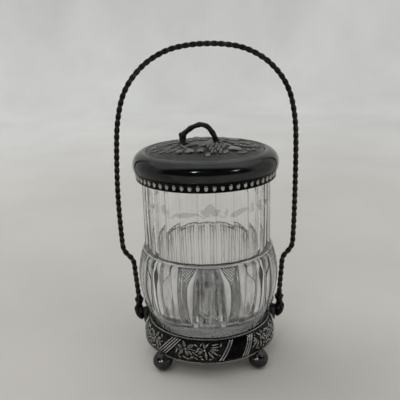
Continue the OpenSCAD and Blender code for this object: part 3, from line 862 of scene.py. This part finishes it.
crown = {
    # plums in a row at the front: x, y, turn, length
    "plums": [(-21.4, -27.3, 12, 6.6), (-12.9, -28.3, -8, 9.2), (-4.0, -29.4, 14, 7.4)],
    # pears and apples: x, y, turn, length, width, height, crease
    "fruit": [
        (24.7, -21.1, 4, 12.6, 8.6, 2.4, 0.2), (-1.6, -14.2, 10, 10.4, 6.6, 2, 0.3),
        (40.5, -16.2, 20, 5.2, 3.8, 1.5, 0.25), (36, -19.6, -15, 4.6, 3.4, 1.4, 0.25),
        (25.6, 13.5, 30, 10.5, 8.6, 2.4, 0.2), (16.5, 20.5, -10, 8.6, 7.6, 2.1, 0.2),
        (-8, 26, 15, 9.4, 7.8, 2.1, 0.2), (-19, 22, -20, 7.4, 6.2, 1.8, 0.2)],
    # x, y, turn, length, width, height
    "leaves": [
        (-11.5, -11.5, 14, 13.5, 5.2, 1.5), (10.5, -12.6, -34, 11, 5, 1.4), (33.5, -8.6, 3, 19, 4.6, 1.7),
        (43.5, -3.6, -12, 9.5, 3.8, 1.3), (-27.6, -20.5, 28, 11.5, 5.4, 1.3), (-34, -17, 38, 13, 5.6, 1.3),
        (-30.5, -9, 12, 14, 5.4, 1.5), (-40.5, -10.5, 20, 12.5, 5, 1.3), (-45.2, -1, 66, 10, 4.4, 1.1),
        (-38, -1, 8, 12.5, 5.4, 1.4), (-24, -2.4, -16, 10.5, 5, 1.4), (2.4, -36.5, 74, 8.6, 4.4, 1.2),
        (-2.6, -22.5, -38, 8.5, 4, 1.3), (-17.6, -20.5, 40, 8.2, 4, 1.2), (17.2, -29.5, 62, 9.5, 3.8, 1.2),
        (18, -10.5, 22, 9.5, 4.4, 1.3), (31, -27.5, 32, 11.5, 4.8, 1.2), (46, 4.6, 84, 9, 4, 1.1),
        (24.5, -1.5, -8, 12.5, 5.4, 1.4), (36.5, 5.2, 32, 13.5, 5.8, 1.5), (40.4, 15, 62, 11.5, 5, 1.2),
        (27, 31.5, 130, 13, 5.6, 1.3), (16.2, 35, 20, 13.5, 5.6, 1.3), (3.4, 33, -28, 13.5, 6, 1.4),
        (-8.5, 37.5, 8, 14, 5.6, 1.3), (-21, 33, 38, 13.5, 5.8, 1.3), (-31.4, 24, 50, 14, 6, 1.4),
        (-38.6, 13.5, 72, 12.5, 5.4, 1.3), (-28.5, 11.5, 22, 12.5, 5.6, 1.5),
        (-14, 13.2, -24, 12.5, 5.6, 1.5), (1.5, 21.5, 42, 11.5, 5.4, 1.4),
        (11.5, 12.5, -20, 11.5, 5.4, 1.4), (-1, 11, 10, 10, 4.6, 1.2)],
    # twigs that tie them together
    "twigs": [
        [(-18.6, 0), (-26, 5), (-34, 4), (-42, 6)], [(10.4, 0), (19, 4), (30, 2), (42, 0)],
        [(-18.6, 0), (-20, -8), (-16, -18), (-13, -24)], [(10.4, 0), (9, -8), (9.4, -18)],
        [(10.4, 0), (17, -8), (22, -15)], [(-14, 5), (-6, 16), (2, 27), (14, 29)],
        [(-19, 5), (-24, 17), (-22, 28)], [(14, 5), (22, 20), (30, 22)]],
    "wornLeft": 0.62,
    "wornRight": 0.85,
    "rings": 118,
    "steps": 480,
    "tone": (10, 0.17, 1.9, 0.2),
}


def crownShapes(relief):
    for x, y, turn, size in crown["plums"]:
        relief.fruit((x, y), turn, size, size * 0.86, 2.3)
    for x, y, turn, length, width, height, crease in crown["fruit"]:
        relief.fruit((x, y), turn, length, width, height, crease)
    # a grape cluster in front and a smaller one behind, whose rows close to a point
    for row in range(4):
        for i in range(6 - row):
            x = 8.6 + (i - (5 - row) / 2) * 3.3 + 0.5 * math.sin(7 * row + 3 * i)
            relief.fruit((x, -14.5 - row * 6.2 + 0.8 * math.sin(5 * i + row)), 90, 4.2, 2.8, 2.6, 0.1)
        for i in range(4 - row):
            relief.fruit((33 + (i - (3 - row) / 2) * 2.9, 24 + row * 3), 90, 3.2, 2.6, 1.7, 0.1)
    for x, y, turn, length, width, height in crown["leaves"]:
        worn = crown["wornLeft"] if x < -12 else crown["wornRight"]
        relief.leaf((x, y), turn, length, width, height * worn)
    for points in crown["twigs"]:
        relief.stem(points, 0.95, 1.25)


def buildCrown():
    rings, steps = crown["rings"], crown["steps"]
    r = np.linspace(0, 1, rings)[None, :] ** 0.86 * (lid["crownRadius"] - 0.25)
    angle = wholeTurn(steps)
    relief = Relief(r * np.cos(angle), r * np.sin(angle))
    crownShapes(relief)
    height = relief.height * unit((lid["reliefEnds"] - r) / 1.2)
    for place, raised in lid["edge"]:
        height = height + raised * peak(r - place, lid["edgeWidth"])
    tone = toneOf(height, *crown["tone"])
    top = spun(r, angle, domeMiddle + np.sqrt(domeRadius ** 2 - r ** 2) + height)
    # the sheet's underside follows at its thickness
    under = spun(r, angle, domeMiddle + np.sqrt((domeRadius - lid["sheet"]) ** 2 - r ** 2))
    both = np.concatenate([top[:, 1:], under[:, :0:-1]], 1)
    cols, last = both.shape[1], steps * both.shape[1]
    faces = gridFaces(steps, cols, True, flip=True)
    for k in range(steps):
        n = (k + 1) % steps
        faces += [[last, k * cols, n * cols], [last + 1, n * cols + cols - 1, k * cols + cols - 1]]
    points = both.reshape(-1, 3).tolist() + [top[0, 0].tolist(), under[0, 0].tolist()]
    tones = np.concatenate([tone[:, 1:], np.full((steps, rings - 1), 0.4)], 1)
    made = makeObject("embossedCrown", points, faces, metals["crown"],
                      {"relief": np.append(tones.ravel(), [tone[0, 0], 0.4])})
    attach(made, "lid")
    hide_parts("lid_crown")


beadRow = {"count": 58, "ring": 60.1, "middle": 168.7, "half": (1.2, 1.75, 2.65)}


def buildBeads():
    strip = [(60.0, 165.0), (60.55, 165.0)] + arc((60.5, 165.5), 0.5, -80, 80, 7) + [(60.35, 166.1)]
    strip += [(60.3, 171.3)] + arc((60.55, 171.9), 0.55, -80, 80, 7) + [(60.0, 172.5)]
    base = turned("beadStrip", strip, metals["black"], "lid", 4 * beadRow["count"])
    beads = []
    for k in range(beadRow["count"]):
        a = 2 * math.pi * (k + 0.5) / beadRow["count"]
        c, s = math.cos(a), math.sin(a)
        place = (beadRow["ring"] * c, beadRow["ring"] * s, beadRow["middle"])
        beads.append(ballPart(place, beadRow["half"], [[c, -s, 0], [s, c, 0], [0, 0, 1]], 10, 14))
    made = makeObject("ovalBeads", *joined(beads), metals["bead"])
    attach(made, "lid")
    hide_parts("bead_wire")


twig = {
    "path": [(-18.6, 192, 3.3), (-18.9, 195.6, 3.0), (-18.9, 199.4, 2.9), (-16.2, 203, 2.4),
             (-10, 207.2, 2.2), (-3.6, 209.2, 2.1), (1.6, 207.9, 2.2), (5.6, 203.8, 2.25), (8.3, 199, 2.3),
             (9.7, 195.2, 2.5), (10.4, 192.2, 2.8)],
    "slimmer": 0.94,
    "sides": 20,
    "knots": [(0.16, 0.5, 0.035), (0.34, 0.35, 0.03), (0.5, 0.45, 0.035), (0.63, 0.3, 0.03),
              (0.8, 0.35, 0.035)],
    "shoots": [([(-18.8, 0, 199.6), (-20.6, -0.4, 201.2), (-22, -0.6, 201.9)], [2.5, 1.9, 1.45]),
               ([(-5.6, 0, 208), (-4.4, -0.8, 210)], [1.6, 0.9]),
               ([(6.4, 0, 201), (8.6, 0.9, 202.6)], [1.6, 1.0])],
    "leaves": ((-18.6, 5.6), (10.4, 4.8)),   # place and spread
    "leafHeight": 193.3,
}


def buildTwig():
    path, at = evenly(smoothPath(twig["path"], 8), 0.55)
    share = at / at[-1]
    line = np.stack([path[:, 0], 0.5 * np.sin(share * 9), path[:, 1]], 1)
    radius = path[:, 2] * twig["slimmer"]
    for place, lift, width in twig["knots"]:
        radius = radius + lift * peak(share - place, width)
    around = wholeTurn(twig["sides"])
    bark = (0.14 * np.sin(5 * around + 6 * share) + 0.09 * np.sin(9 * around - 11 * share)
            + 0.08 * np.sin(3 * around + 40 * share))
    parts = [tubePart(tubeRings(line, radius[None, :] + bark, twig["sides"]))]
    # cut side shoots, and small leaves at both feet that hold it to the lid
    parts += [rodPart(points, radii) for points, radii in twig["shoots"]]
    for x, spread in twig["leaves"]:
        parts.append(ballPart((x, 0, twig["leafHeight"]), (spread, spread * 0.8, 1.6)))
    made = cast("twigHandleCast", parts, metals["twig"], 0.34)
    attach(made, "lid")
    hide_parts("twig_handle")


buildLidBorder()
buildCrown()
buildBeads()
buildTwig()
print("lid made")

base = {
    "arcRadius": 30,
    "arcMiddle": (30.4, 18),
    "low": 15.9,
    "high": 34.6,
    "sheet": 0.9,
    "lining": (0.92, 1.2),
    "reliefLift": 1.25,
    "reliefSunk": 0.6,   # how far the ground lies behind the solid's face
    "middleRadius": 60,
    "repeats": 3,
    "start": 80,
    "steps": 1500,
    "rows": 84,
    "tone": (4, -0.18, 2.6, 0.5),
    "fieldLow": 17.4,
    "fieldHigh": 33.3,
    "barHalf": 0.62,
    "bars": [(13, 2, 2.6, 0.65), (33, 3, 2.35, 0.54), (-43.8, 4, 2.85, 0.92)],   # place, count, gap and lean
    # place and direction of each group of flowers, then place and lean of its left and its right end
    "groups": [(0, 1, (-32.5, 0.8), (10.5, 0.65)), (46, -1, (40.8, 0.54), (79.5, 0.92))],
    "fruit": ((22, 2.4), (5, 2)),
    "stems": ([(-33, 27), (-28, 25.4), (-22, 26.6)], [(-22, 26.6), (-15, 26.4), (-9, 24)],
              [(-9, 27.5), (-5, 26.6)]),
}
base["middle"] = (base["fieldLow"] + base["fieldHigh"]) / 2
base["repeat"] = 2 * math.pi * base["middleRadius"] / base["repeats"]


def bandRadius(z, inset):
    return base["arcMiddle"][0] + np.sqrt((base["arcRadius"] - inset) ** 2 - (z - base["arcMiddle"][1]) ** 2)


# leaf sprays of one repeat: place along the band, height, turn, length and width
sprays = [
    # blossom with six petals, and the leaves below it
    (-24.1, 30.4, 122, 4.8, 3.2), (-17.6, 29.3, 25, 5.8, 3.3), (-27.9, 28, 165, 4.4, 2.9),
    (-26.4, 23.2, 225, 5.2, 3.1), (-20.7, 23.4, -60, 4.8, 3.1), (-17.4, 23.6, -40, 4.6, 2.7),
    (-30.4, 23.6, 250, 5, 2), (-15.8, 20.2, 20, 3.8, 2.6), (-22.8, 19.6, 160, 3.8, 2.4),
    (-19.4, 18.6, 0, 3.4, 1.8), (-27.4, 19.4, 130, 3.6, 2), (-12.2, 19.4, -30, 3.6, 2),
    # bud and its stalk leaves
    (-13, 23.2, -33, 7, 1.8), (-11.5, 25.8, 30, 3.8, 2.3), (-8.4, 25, 35, 4.2, 2.8),
    (-12.6, 30.2, -30, 3.8, 1.8), (-10.2, 28, 20, 3.6, 1.8), (-8.2, 31, 60, 3, 1.7),
    (-8.4, 21.4, 10, 3.4, 1.7), (-30.6, 31, 60, 3.4, 1.9),
    # palmette
    (-5.6, 30.2, 112, 4.8, 2), (-3, 30.6, 40, 5, 2), (-3.7, 21.8, -82, 6.8, 2.5),
    (0.8, 22.4, -52, 7.6, 2.3), (3.4, 24.4, -34, 8.6, 2.3), (4, 27, -12, 7, 2), (4.6, 29, 0, 6.6, 1.7),
    (4.4, 31, 4, 6.6, 1.6), (-6.8, 19, -20, 3, 1.8), (0.2, 19, 10, 3, 1.8), (9.4, 30.4, 60, 3.2, 1.8),
    (8.6, 21, -60, 3.4, 1.8),
]


def bandShapes(relief):
    rise = relief.y - base["middle"]
    # stippled ground under the flowers
    ground = 0.13 + 0.14 * np.sin(relief.x * 3.8) * np.sin(relief.y * 3.5 + 1.3 * np.sin(relief.x * 0.9))
    for shift, flip, (low, lowLean), (high, highLean) in base["groups"]:
        group = Relief(relief.x, relief.y)
        for at in (shift, shift - base["repeat"]):   # the second group runs over the seam
            for x, y, turn, length, width in sprays:
                turn = turn if flip > 0 else 180 - turn
                group.leaf((at + flip * x, y), turn, length * 1.04, width, 0.85, 4, 0.8)
            for x, size in base["fruit"]:
                group.fruit((at - flip * x, 26.6), 0, size, size, 0.9, 0)
            for points in base["stems"]:
                group.stem([(at + flip * x, y) for x, y in points], 0.35, 0.5)
        inside = np.zeros(relief.x.shape, bool)
        for x in (relief.x, relief.x + base["repeat"]):
            inside |= (x > low + lowLean * rise) & (x < high + highLean * rise)
        relief.raiseTo(np.maximum(group.height, ground) * inside)


# slanted bars: place along the band at mid height, how many, gap between them, lean
def bandBars(relief, start, count, gap, lean):
    for k in range(count):
        d = np.abs(relief.x - start - k * gap - (relief.y - base["middle"]) * lean) / math.hypot(1, lean)
        relief.raiseTo(0.9 * unit(1 - (d / base["barHalf"]) ** 2) ** 0.5)


def buildBand():
    steps, rows = base["steps"], base["rows"]
    z, angle = np.linspace(base["low"], base["high"], rows)[None, :], wholeTurn(steps)
    along = (angle + np.pi / 2) * base["middleRadius"] + base["start"]
    relief = Relief(*np.broadcast_arrays(along % base["repeat"] - base["start"], z))
    bandShapes(relief)
    for bars in base["bars"]:
        bandBars(relief, *bars)
    field = (z > base["fieldLow"]) & (z < base["fieldHigh"])
    height = relief.height * field * base["reliefLift"] + 0.3 * peak(z - base["fieldLow"] + 0.5, 0.35)
    tone = toneOf(height, *base["tone"])
    outer = spun(bandRadius(z, base["reliefSunk"]) + height, angle, z)
    inner = spun(bandRadius(z, base["sheet"]), angle, z)
    made = makeObject("ornamentBand", np.concatenate([outer, inner[:, ::-1]], 1),
                      gridFaces(steps, 2 * rows, True, True), metals["band"],
                      {"relief": np.concatenate([tone, np.full_like(tone, 0.5)], 1)})
    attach(made, "frame")
    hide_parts("base_band")
    # brighter lining, which shows through the jar's foot
    heights = np.linspace(base["low"] + 0.15, base["high"] - 0.3, 16)
    lining = [(bandRadius(h, base["lining"][0]), h) for h in heights]
    lining += [(bandRadius(h, base["lining"][1]), h) for h in heights[::-1]]
    made = turned("bandLining", lining, metals["lining"], "frame")


# outline, look and the node that each one replaces
rims = {
    "steppedTopRim": ([(53.9, 33.6), (53.9, 35.7), (54.1, 35.9), (54.5, 35.7), (54.7, 34.6), (56.1, 34.5),
                       (56.5, 33.9), (56.4, 33.4), (55.2, 33.3)], "black", "base_top_rim"),
    # a thin wire of paler plate: a painted highlight line along the top rim
    "topRimWire": (arc((55.35, 34.8), 0.65, 0, 342, 20), "rim", None),
    "rolledFootRim": ([(58.9, 15.9)] + arc((59.75, 15.3), 0.85, 170, 400, 22), "rim", "base_foot_rim"),
}


def buildRims():
    for name, (profile, look, nodeName) in rims.items():
        made = turned(name, profile, metals[look], "frame")
        if nodeName:
            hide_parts(nodeName)


feet = {
    "radius": 8.7,
    "ring": 59.5,
    "height": 8.45,
    "top": 16.6,
    "seam": (1.72, 0.035, 0.07),   # place and width in radians, and depth
    "tuckedFrom": 14.6,
    "collar": {"low": 13.2, "high": 16.2, "radii": (3.4, 4.6)},
    "places": {"front_left": -135, "front_right": -45, "back_left": 135, "back_right": 45},
}


# two half shells soldered at a seam, with a worn flat below and a collar above
def buildFeet():
    seam, width, depth = feet["seam"]
    collar = feet["collar"]
    lat = np.linspace(math.pi, 0, 40)[:, None]
    r = feet["radius"] - depth * peak(lat - seam, width)
    z = np.maximum(feet["height"] + r * np.cos(lat), 0)
    ball = spun(r * np.sin(lat), wholeTurn(56).T, np.minimum(z, feet["top"]))
    ball[..., :2] *= 1 - 0.25 * unit((z[..., None] - feet["tuckedFrom"]) / 2)
    faces = gridFaces(*ball.shape[:2], False, True, flip=True)
    for place, turn in feet["places"].items():
        x, y = (feet["ring"] * part(math.radians(turn)) for part in (math.cos, math.sin))
        shell = (ball + [x, y, 0]).reshape(-1, 3).tolist(), faces
        stem = [(x * 0.985, y * 0.985, collar["low"]), (x * 0.975, y * 0.975, collar["high"])]
        neck = rodPart(stem, collar["radii"], 28, (0.3, 1, 0))
        made = makeObject("ballFoot_" + place, *joined([shell, neck]), metals["ball"])
        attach(made, "frame")
        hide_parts("foot_" + place)
        litAlone["feet"].objects.link(made)


def turnedRound(part):
    points, faces = part
    return [[-x, -y, z] for x, y, z in points], faces


# pointed plate on the band's side, with a rod round it, a boss for the pivot and a brace
def earParts():
    half = [(4.8, 26), (4.3, 30), (3.6, 34), (2.3, 37.6)]
    outline = [(-y, z) for y, z in half] + [(0, 39.9)] + half[::-1]
    near, far = ([(x, y, z) for y, z in outline] for x in (55.6, 58.4))
    n = len(outline)
    faces = [[k, k + 1, n + k + 1, n + k] for k in range(n - 1)]
    faces += [list(range(n - 1, -1, -1)), list(range(n, 2 * n)), [0, n, 2 * n - 1, n - 1]]
    parts = [(near + far, faces), rodPart(smoothPath(far, 5), 0.8, 10, (1, 0, 0)),
             rodPart([(57, 0, 36.1), (61.3, 0, 36.1)], [4.1, 3.6], 28)]
    brace = smoothPath([(59, 0, 34, 2.4), (59.1, 0, 30.5, 2.4), (59.2, 0, 27.4, 2.2), (59, 0, 24.6, 1.7)], 5)
    parts += [rodPart(brace[:, :3] + (0, side, 0), brace[:, 3], 16) for side in (-1.3, 1.3)]
    parts += [ballPart((58.6, side * 3.4, 29.6), (1.4, 1.3, 2.8)) for side in (-1, 1)]
    return parts


# a ball with a collar line and a socket for the wires, and a curl of two strands with petals and cross ribs
def bailEndParts():
    x, z = 64.9, 47.2
    ring = [(x + 3.9 * math.cos(a), 3.9 * math.sin(a), z + 1) for a in np.linspace(0, 2 * np.pi, 40)]
    parts = [ballPart((x, 0, z), (4, 4, 3.9), rows=20, cols=28), rodPart(ring, 0.5, 8, (0, 0, 1)),
             rodPart([(x, 0, 49.8), (x + 0.1, 0, 52.4)], [2.8, 2.2], 24),
             rodPart([(x, 0, 45), (65.5, 0, 42), (66, 0, 39.4)], [3.1, 2.7, 3.2], 24),
             rodPart([(62.1, 0, 37.2), (67.7, 0, 37.4)], [4.1, 4], 30)]   # the knuckle on the pivot
    curl = smoothPath([(66.3, 0, 38.5, 3), (66.2, 0, 36, 3.2), (65.4, 0, 33.4, 3.1), (64.4, 0, 31.3, 2.8),
                       (63.4, 0, 29.4, 1.9), (62.7, 0, 28, 1.2)], 5)
    for side in (-1.2, 1.2):
        parts.append(rodPart(curl[:, :3] + (0, side, 0), curl[:, 3], 18))
        parts.append(rodPart([(63, side, 38), (62.9, side, 33), (62.8, side, 29.6)], 1.5, 14))
    for side in (-1, 1):
        petal = smoothPath([(65.2, side * 1.4, 43, 1.1), (66.4, side * 3.1, 40.2, 1.2),
                            (66.8, side * 3.6, 37, 1.2), (66.2, side * 2.9, 33.6, 1.1),
                            (64.6, side * 1.2, 30.4, 0.8)], 5)
        parts.append(rodPart(petal[:, :3], petal[:, 3], 10, (0.4, 0, 0.9)))
    for x, _, z, radius in curl[3:20:4]:
        parts.append(ballPart((x + radius * 0.75, 0, z - 0.5), (0.9, 1.6, 0.6)))
    return parts


def buildCastings():
    kinds = (("castEar_", earParts, "ear", "frame", "ear_"),
             ("castBailEnd_", bailEndParts, "casting", "bail", "bail_end_"))
    for side in ("right", "left"):
        for name, makeParts, look, bodyName, nodeName in kinds:
            parts = makeParts() if side == "right" else [turnedRound(part) for part in makeParts()]
            made = cast(name + side, parts, metals[look])
            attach(made, bodyName)
            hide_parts(nodeName + side)


buildBand()
buildRims()
buildFeet()
buildCastings()
print("base ring, feet and castings made")

# the nodes that stay as they are get their finish
nodeLooks = {
    "base_pan": "pan", "pivot_pin_left": "casting", "pivot_pin_right": "casting",
    "lid_skirt": "black", "handle_studs": "brass", "handle_nuts": "brass",
}
for nodeName, look in nodeLooks.items():
    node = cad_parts[nodeName]
    node.data.materials.clear()
    node.data.materials.append(metals[look])
